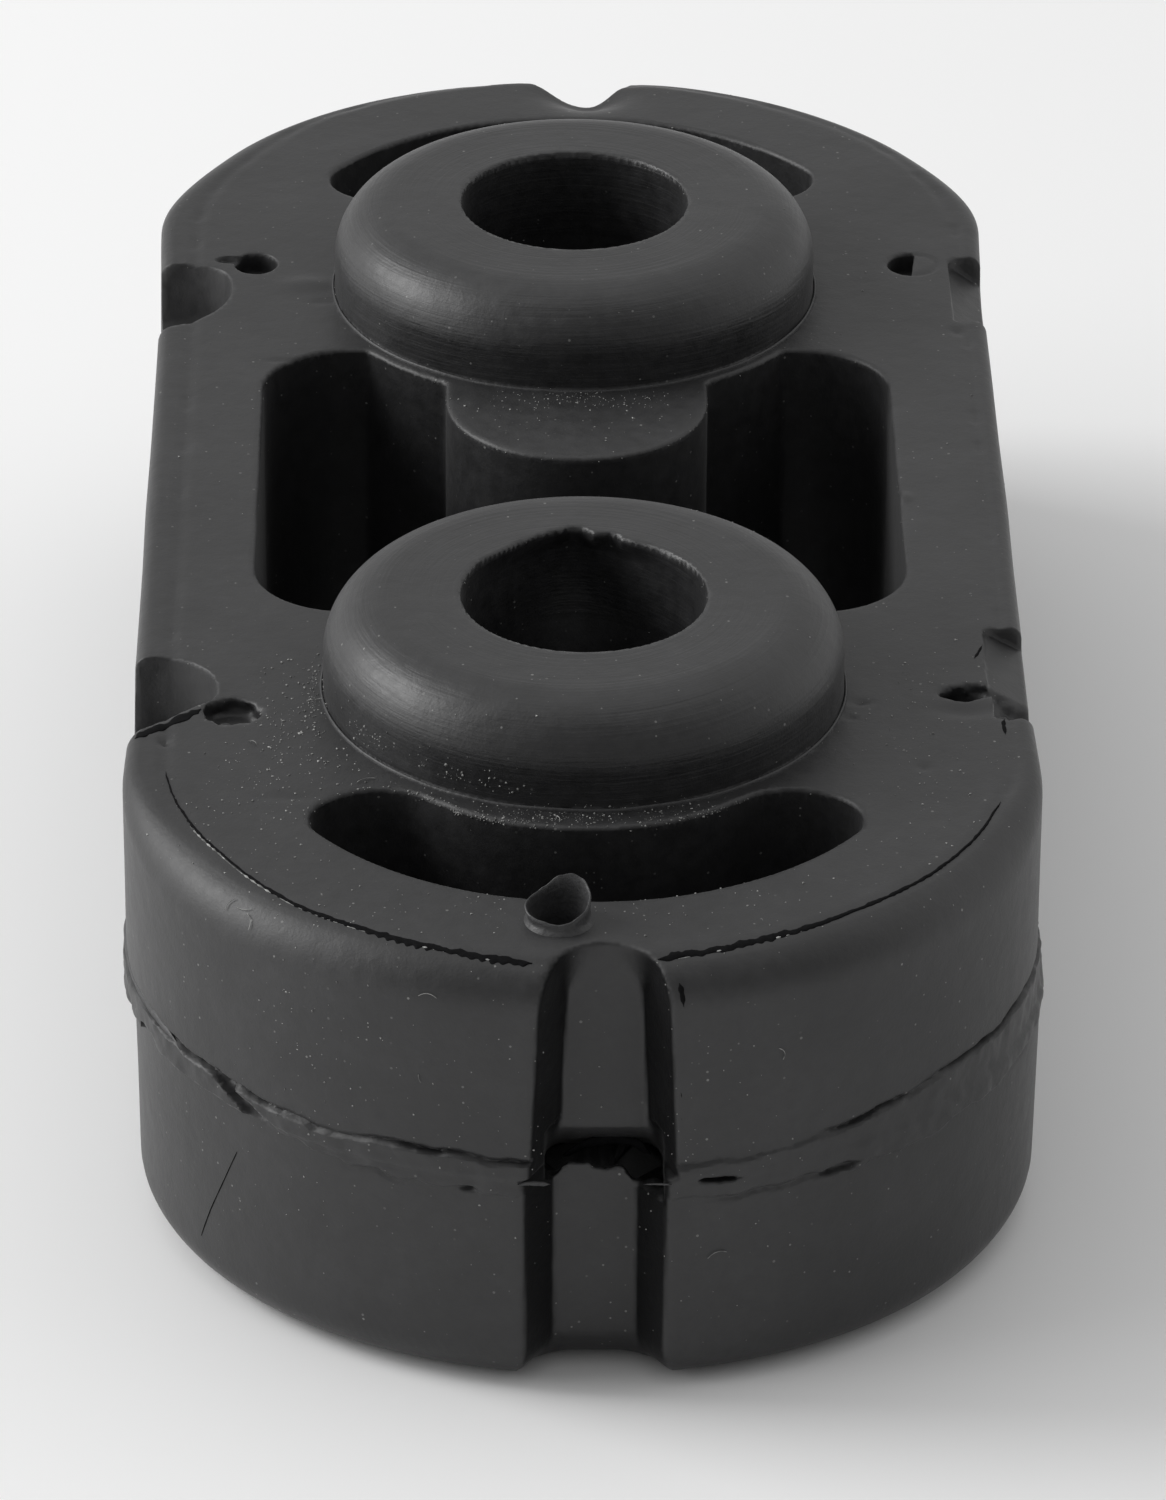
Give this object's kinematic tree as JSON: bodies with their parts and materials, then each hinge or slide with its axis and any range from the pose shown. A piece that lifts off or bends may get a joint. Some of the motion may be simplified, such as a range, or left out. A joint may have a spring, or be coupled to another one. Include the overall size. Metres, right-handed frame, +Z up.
{
  "type": "exhaust hanger",
  "caption": "Moulded rubber exhaust hanger: long rounded block with flanged bosses for two hanger rods, joined round a middle opening and end crescents so that it can flex.",
  "frame": {"origin": "middle of the flat underside", "axes": "+Z up along the bores, towards the flanged side; +Y along the block, away from the end with the torn moulding nub; +X to the right seen from that end"},
  "size_m": [0.0416, 0.094, 0.0261],
  "materials": {
    "rubber": "matte moulded, slightly dusty"
  },
  "bodies": {
    "root": {"rubber_hanger": "rubber"}
  },
  "joints": []
}
